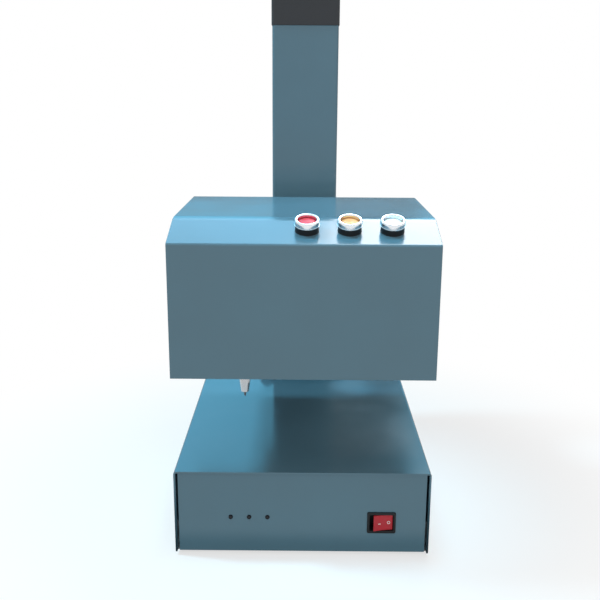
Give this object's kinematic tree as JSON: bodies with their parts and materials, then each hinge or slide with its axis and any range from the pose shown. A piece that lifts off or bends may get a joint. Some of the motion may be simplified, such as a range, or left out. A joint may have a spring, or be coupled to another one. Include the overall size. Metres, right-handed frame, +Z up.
{
  "type": "pneumatic dot peen marker",
  "caption": "Bench dot peen marker: sheet-metal control base, column with crank lift, and a boxed marking head whose air-driven pin moves side to side and front to back.",
  "frame": {"origin": "middle of the base case's footprint, on the bench under the feet", "axes": "+X to the operator's right, +Y to the rear, +Z up the column"},
  "size_m": [0.2894, 0.4011, 0.711],
  "materials": {
    "case_paint": "semi-gloss grey-blue stove enamel",
    "panel_paint": "semi-gloss grey-blue stove enamel",
    "zinc_steel": "zinc plated sheet",
    "black_steel": "black oxide",
    "motor_black": "satin black",
    "black_aluminium": "black anodised",
    "plain_aluminium": "machined",
    "ground_steel": "ground and hardened",
    "carbide": "ground carbide",
    "chrome_ring": "bright chrome",
    "bronze": "turned",
    "black_rubber": "matt",
    "black_plastic": "satin moulded",
    "guide_acetal": "machined acetal",
    "board_green": "solder mask",
    "lamp_plastic": "dark clear moulding",
    "red_plastic": "translucent moulding",
    "switch_red": "translucent moulding",
    "amber_plastic": "translucent moulding",
    "white_plastic": "translucent moulding"
  },
  "bodies": {
    "base": {"base_cover": "case_paint", "chassis_tray": "zinc_steel", "front_panel": "panel_paint", "rear_panel": "panel_paint", "rubber_feet": "black_rubber", "cover_screws": "zinc_steel", "power_switch_housing": "black_plastic", "indicator_lamps": "lamp_plastic", "power_inlet": "black_plastic", "air_inlet_fitting": "bronze", "data_connector": "ground_steel", "power_supply": "plain_aluminium", "control_board": "board_green", "motor_drivers": "black_aluminium", "solenoid_valve": "black_plastic", "column_pedestal": "black_steel", "column_foot": "black_steel", "foot_bolts": "black_steel", "column_tube": "case_paint", "column_cap": "black_plastic", "screw_bearings": "ground_steel"},
    "switch": {"power_switch_rocker": "switch_red"},
    "crank": {"lift_screw": "ground_steel", "crank_arm": "black_steel", "crank_pin": "ground_steel"},
    "grip": {"crank_grip": "black_plastic"},
    "carriage": {"carriage_sleeve": "black_aluminium", "guide_pads": "guide_acetal", "nut_arm": "zinc_steel", "lift_nut": "bronze", "head_bracket": "black_aluminium", "bracket_screws": "black_steel", "head_back_plate": "plain_aluminium", "head_side_plates": "plain_aluminium", "head_front_plate": "plain_aluminium", "head_cover": "case_paint", "head_cover_screws": "zinc_steel", "y_guide_rods": "ground_steel", "y_motor": "motor_black", "y_motor_bracket": "plain_aluminium", "button_bodies": "black_plastic", "button_rings": "chrome_ring"},
    "lock": {"lock_knob": "black_plastic"},
    "y_drive": {"y_screw": "ground_steel"},
    "gantry": {"x_end_blocks": "plain_aluminium", "x_guide_rods": "ground_steel", "x_motor": "motor_black", "y_nut": "bronze", "x_belt": "black_rubber"},
    "x_drive": {"x_drive_pulley": "plain_aluminium"},
    "x_idler": {"x_idler_pulley": "plain_aluminium"},
    "marker": {"x_slider": "black_aluminium", "stylus_body": "ground_steel", "stylus_nozzle": "ground_steel", "return_spring": "ground_steel", "air_elbow": "black_plastic"},
    "pin": {"stylus_pin": "carbide"},
    "red_cap": {"red_button": "red_plastic"},
    "yellow_cap": {"yellow_button": "amber_plastic"},
    "white_cap": {"white_button": "white_plastic"}
  },
  "joints": [
    {"name": "crank_turn", "type": "hinge", "parent": "base", "child": "crank", "pos_m": [0, 0.143, 0.6], "axis": [0, 0, 1], "range_deg": [-14400, 4896]},
    {"name": "head_lift", "type": "slide", "parent": "base", "child": "carriage", "axis": [0, 0, 1], "range_m": [-0.0681, 0.2001]},
    {"name": "grip_spin", "type": "hinge", "parent": "crank", "child": "grip", "pos_m": [0.07, 0.143, 0.68], "axis": [0, 0, 1], "continuous": true},
    {"name": "lock_turn", "type": "hinge", "parent": "carriage", "child": "lock", "pos_m": [-0.07, 0.143, 0.301], "axis": [1, 0, 0], "range_deg": [0, 120]},
    {"name": "y_slide", "type": "slide", "parent": "carriage", "child": "gantry", "axis": [0, 1, 0], "range_m": [0, 0.08]},
    {"name": "y_screw_turn", "type": "hinge", "parent": "carriage", "child": "y_drive", "pos_m": [0.112, -0.1, 0.243], "axis": [0, 1, 0], "range_deg": [-3601, 1]},
    {"name": "x_slide", "type": "slide", "parent": "gantry", "child": "marker", "axis": [1, 0, 0], "range_m": [0, 0.13]},
    {"name": "x_drive_turn", "type": "hinge", "parent": "gantry", "child": "x_drive", "pos_m": [-0.112, -0.103, 0.278], "axis": [0, 1, 0], "range_deg": [-1, 1089]},
    {"name": "x_idler_turn", "type": "hinge", "parent": "gantry", "child": "x_idler", "pos_m": [0.112, -0.103, 0.278], "axis": [0, 1, 0], "range_deg": [-1, 1089]},
    {"name": "pin_stroke", "type": "slide", "parent": "marker", "child": "pin", "axis": [0, 0, -1], "range_m": [0, 0.005], "stiffness_N_per_m": 600, "springref_m": -0.001, "deforming": ["return_spring"]},
    {"name": "switch_rock", "type": "hinge", "parent": "base", "child": "switch", "pos_m": [0.089, -0.19, 0.0406], "axis": [0, 0, 1], "range_deg": [-24, 0]},
    {"name": "red_press", "type": "slide", "parent": "carriage", "child": "red_cap", "axis": [0, 0.3265, -0.9452], "range_m": [0, 0.003], "stiffness_N_per_m": 400, "springref_m": -0.002},
    {"name": "yellow_press", "type": "slide", "parent": "carriage", "child": "yellow_cap", "axis": [0, 0.3265, -0.9452], "range_m": [0, 0.003], "stiffness_N_per_m": 400, "springref_m": -0.002},
    {"name": "white_press", "type": "slide", "parent": "carriage", "child": "white_cap", "axis": [0, 0.3265, -0.9452], "range_m": [0, 0.003], "stiffness_N_per_m": 400, "springref_m": -0.002}
  ],
  "couplings": [
    {"joint": "head_lift", "follows": "crank_turn", "m_per_rad": -0.00079577},
    {"joint": "y_screw_turn", "follows": "y_slide", "rad_per_m": -785.4},
    {"joint": "x_drive_turn", "follows": "x_slide", "rad_per_m": 145.99},
    {"joint": "x_idler_turn", "follows": "x_slide", "rad_per_m": 145.99}
  ]
}
